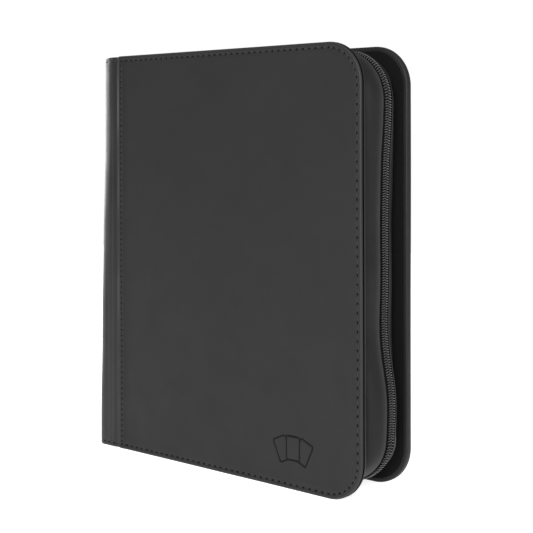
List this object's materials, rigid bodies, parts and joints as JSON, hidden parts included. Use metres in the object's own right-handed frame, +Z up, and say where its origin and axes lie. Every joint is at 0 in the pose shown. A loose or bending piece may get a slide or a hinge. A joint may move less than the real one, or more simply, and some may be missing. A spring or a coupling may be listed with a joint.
{
  "type": "trading card binder",
  "caption": "Zip-round binder with boarded leather-look covers, a rounded spine and side-loading pocket leaves that hold trading cards.",
  "frame": {"origin": "centre of the bounding box's bottom face, where the standing binder rests", "axes": "+Z up along the spine, +X from the spine to the fore edge, the front cover faces -Y"},
  "size_m": [0.202, 0.045, 0.241],
  "materials": {
    "cover_leather": "matte smooth imitation leather with a fine grain",
    "spine_leather": "matte smooth imitation leather, stretched at the edges",
    "gusset_leather": "thin matte imitation leather, softly creased",
    "lining": "fine dark lining cloth",
    "board": "pressed grey board",
    "binding": "matte moulded strip",
    "zip_tape": "woven twill tape",
    "zip_coil": "nylon filament coil",
    "zip_stop": "dark enamelled metal",
    "zip_metal": "black enamelled zinc",
    "pin_steel": "small steel pin",
    "pull_grip": "soft moulded sleeve",
    "pocket_leaf": "black sheet with clear glossy pocket film"
  },
  "bodies": {
    "spine": {"spine_leather": "spine_leather", "spine_board": "board", "spine_lining": "lining", "page_binding": "binding"},
    "front_cover": {"front_leather": "cover_leather", "front_hinge_leather": "spine_leather", "front_board": "board", "front_lining": "lining", "front_gusset": "gusset_leather", "front_zip_tape": "zip_tape", "front_zip_coil": "zip_coil", "front_zip_stops": "zip_stop"},
    "back_cover": {"back_leather": "cover_leather", "back_hinge_leather": "spine_leather", "back_board": "board", "back_lining": "lining", "back_gusset": "gusset_leather", "back_zip_tape": "zip_tape", "back_zip_coil": "zip_coil", "back_zip_stops": "zip_stop"},
    "zip_slider": {"slider_body": "zip_metal", "slider_pin": "pin_steel"},
    "zip_pull": {"pull_tab": "zip_metal", "pull_grip": "pull_grip"},
    "leaf_01_body": {"leaf_01": "pocket_leaf"},
    "leaf_02_body": {"leaf_02": "pocket_leaf"},
    "leaf_03_body": {"leaf_03": "pocket_leaf"},
    "leaf_04_body": {"leaf_04": "pocket_leaf"},
    "leaf_05_body": {"leaf_05": "pocket_leaf"},
    "leaf_06_body": {"leaf_06": "pocket_leaf"},
    "leaf_07_body": {"leaf_07": "pocket_leaf"},
    "leaf_08_body": {"leaf_08": "pocket_leaf"},
    "leaf_09_body": {"leaf_09": "pocket_leaf"},
    "leaf_10_body": {"leaf_10": "pocket_leaf"},
    "leaf_11_body": {"leaf_11": "pocket_leaf"},
    "leaf_12_body": {"leaf_12": "pocket_leaf"},
    "leaf_13_body": {"leaf_13": "pocket_leaf"},
    "leaf_14_body": {"leaf_14": "pocket_leaf"},
    "leaf_15_body": {"leaf_15": "pocket_leaf"},
    "leaf_16_body": {"leaf_16": "pocket_leaf"},
    "leaf_17_body": {"leaf_17": "pocket_leaf"},
    "leaf_18_body": {"leaf_18": "pocket_leaf"},
    "leaf_19_body": {"leaf_19": "pocket_leaf"},
    "leaf_20_body": {"leaf_20": "pocket_leaf"}
  },
  "joints": [
    {"name": "front_cover_hinge", "type": "hinge", "parent": "spine", "child": "front_cover", "pos_m": [-0.09866, -0.02016, 0.1205], "axis": [0, 0, -1], "range_deg": [0, 90]},
    {"name": "back_cover_hinge", "type": "hinge", "parent": "spine", "child": "back_cover", "pos_m": [-0.09866, 0.02016, 0.1205], "axis": [0, 0, 1], "range_deg": [0, 90]},
    {"name": "zip_slide", "type": "slide", "parent": "back_cover", "child": "zip_slider", "axis": [1, 0, 0], "range_m": [0, 0.134]},
    {"name": "pull_tab_hinge", "type": "hinge", "parent": "zip_slider", "child": "zip_pull", "pos_m": [-0.071, 0, 0.23875], "axis": [0, -1, 0], "range_deg": [0, 170]},
    {"name": "leaf_01_turn", "type": "hinge", "parent": "spine", "child": "leaf_01_body", "pos_m": [-0.0945, -0.01695, 0.1205], "axis": [0, 0, -1], "range_deg": [0, 70.05]},
    {"name": "leaf_02_turn", "type": "hinge", "parent": "spine", "child": "leaf_02_body", "pos_m": [-0.0945, -0.01517, 0.1205], "axis": [0, 0, -1], "range_deg": [0, 66.55]},
    {"name": "leaf_03_turn", "type": "hinge", "parent": "spine", "child": "leaf_03_body", "pos_m": [-0.0945, -0.01338, 0.1205], "axis": [0, 0, -1], "range_deg": [0, 63.05]},
    {"name": "leaf_04_turn", "type": "hinge", "parent": "spine", "child": "leaf_04_body", "pos_m": [-0.0945, -0.0116, 0.1205], "axis": [0, 0, -1], "range_deg": [0, 59.55]},
    {"name": "leaf_05_turn", "type": "hinge", "parent": "spine", "child": "leaf_05_body", "pos_m": [-0.0945, -0.00981, 0.1205], "axis": [0, 0, -1], "range_deg": [0, 56.05]},
    {"name": "leaf_06_turn", "type": "hinge", "parent": "spine", "child": "leaf_06_body", "pos_m": [-0.0945, -0.00803, 0.1205], "axis": [0, 0, -1], "range_deg": [0, 52.55]},
    {"name": "leaf_07_turn", "type": "hinge", "parent": "spine", "child": "leaf_07_body", "pos_m": [-0.0945, -0.00624, 0.1205], "axis": [0, 0, -1], "range_deg": [0, 49.05]},
    {"name": "leaf_08_turn", "type": "hinge", "parent": "spine", "child": "leaf_08_body", "pos_m": [-0.0945, -0.00446, 0.1205], "axis": [0, 0, -1], "range_deg": [0, 45.55]},
    {"name": "leaf_09_turn", "type": "hinge", "parent": "spine", "child": "leaf_09_body", "pos_m": [-0.0945, -0.00268, 0.1205], "axis": [0, 0, -1], "range_deg": [0, 42.05]},
    {"name": "leaf_10_turn", "type": "hinge", "parent": "spine", "child": "leaf_10_body", "pos_m": [-0.0945, -0.00089, 0.1205], "axis": [0, 0, -1], "range_deg": [0, 38.55]},
    {"name": "leaf_11_turn", "type": "hinge", "parent": "spine", "child": "leaf_11_body", "pos_m": [-0.0945, 0.00089, 0.1205], "axis": [0, 0, -1], "range_deg": [0, 35.05]},
    {"name": "leaf_12_turn", "type": "hinge", "parent": "spine", "child": "leaf_12_body", "pos_m": [-0.0945, 0.00268, 0.1205], "axis": [0, 0, -1], "range_deg": [0, 31.55]},
    {"name": "leaf_13_turn", "type": "hinge", "parent": "spine", "child": "leaf_13_body", "pos_m": [-0.0945, 0.00446, 0.1205], "axis": [0, 0, -1], "range_deg": [0, 28.05]},
    {"name": "leaf_14_turn", "type": "hinge", "parent": "spine", "child": "leaf_14_body", "pos_m": [-0.0945, 0.00624, 0.1205], "axis": [0, 0, -1], "range_deg": [0, 24.55]},
    {"name": "leaf_15_turn", "type": "hinge", "parent": "spine", "child": "leaf_15_body", "pos_m": [-0.0945, 0.00803, 0.1205], "axis": [0, 0, -1], "range_deg": [0, 21.05]},
    {"name": "leaf_16_turn", "type": "hinge", "parent": "spine", "child": "leaf_16_body", "pos_m": [-0.0945, 0.00981, 0.1205], "axis": [0, 0, -1], "range_deg": [0, 17.55]},
    {"name": "leaf_17_turn", "type": "hinge", "parent": "spine", "child": "leaf_17_body", "pos_m": [-0.0945, 0.0116, 0.1205], "axis": [0, 0, -1], "range_deg": [0, 14.05]},
    {"name": "leaf_18_turn", "type": "hinge", "parent": "spine", "child": "leaf_18_body", "pos_m": [-0.0945, 0.01338, 0.1205], "axis": [0, 0, -1], "range_deg": [0, 10.55]},
    {"name": "leaf_19_turn", "type": "hinge", "parent": "spine", "child": "leaf_19_body", "pos_m": [-0.0945, 0.01517, 0.1205], "axis": [0, 0, -1], "range_deg": [0, 7.05]},
    {"name": "leaf_20_turn", "type": "hinge", "parent": "spine", "child": "leaf_20_body", "pos_m": [-0.0945, 0.01695, 0.1205], "axis": [0, 0, -1], "range_deg": [0, 3.55]}
  ],
  "couplings": [
    {"joint": "leaf_01_turn", "follows": "front_cover_hinge", "ratio": 0.77778},
    {"joint": "leaf_02_turn", "follows": "front_cover_hinge", "ratio": 0.73889},
    {"joint": "leaf_03_turn", "follows": "front_cover_hinge", "ratio": 0.7},
    {"joint": "leaf_04_turn", "follows": "front_cover_hinge", "ratio": 0.66111},
    {"joint": "leaf_05_turn", "follows": "front_cover_hinge", "ratio": 0.62222},
    {"joint": "leaf_06_turn", "follows": "front_cover_hinge", "ratio": 0.58333},
    {"joint": "leaf_07_turn", "follows": "front_cover_hinge", "ratio": 0.54444},
    {"joint": "leaf_08_turn", "follows": "front_cover_hinge", "ratio": 0.50556},
    {"joint": "leaf_09_turn", "follows": "front_cover_hinge", "ratio": 0.46667},
    {"joint": "leaf_10_turn", "follows": "front_cover_hinge", "ratio": 0.42778},
    {"joint": "leaf_11_turn", "follows": "front_cover_hinge", "ratio": 0.38889},
    {"joint": "leaf_12_turn", "follows": "front_cover_hinge", "ratio": 0.35},
    {"joint": "leaf_13_turn", "follows": "front_cover_hinge", "ratio": 0.31111},
    {"joint": "leaf_14_turn", "follows": "front_cover_hinge", "ratio": 0.27222},
    {"joint": "leaf_15_turn", "follows": "front_cover_hinge", "ratio": 0.23333},
    {"joint": "leaf_16_turn", "follows": "front_cover_hinge", "ratio": 0.19444},
    {"joint": "leaf_17_turn", "follows": "front_cover_hinge", "ratio": 0.15556},
    {"joint": "leaf_18_turn", "follows": "front_cover_hinge", "ratio": 0.11667},
    {"joint": "leaf_19_turn", "follows": "front_cover_hinge", "ratio": 0.077778},
    {"joint": "leaf_20_turn", "follows": "front_cover_hinge", "ratio": 0.038889}
  ]
}
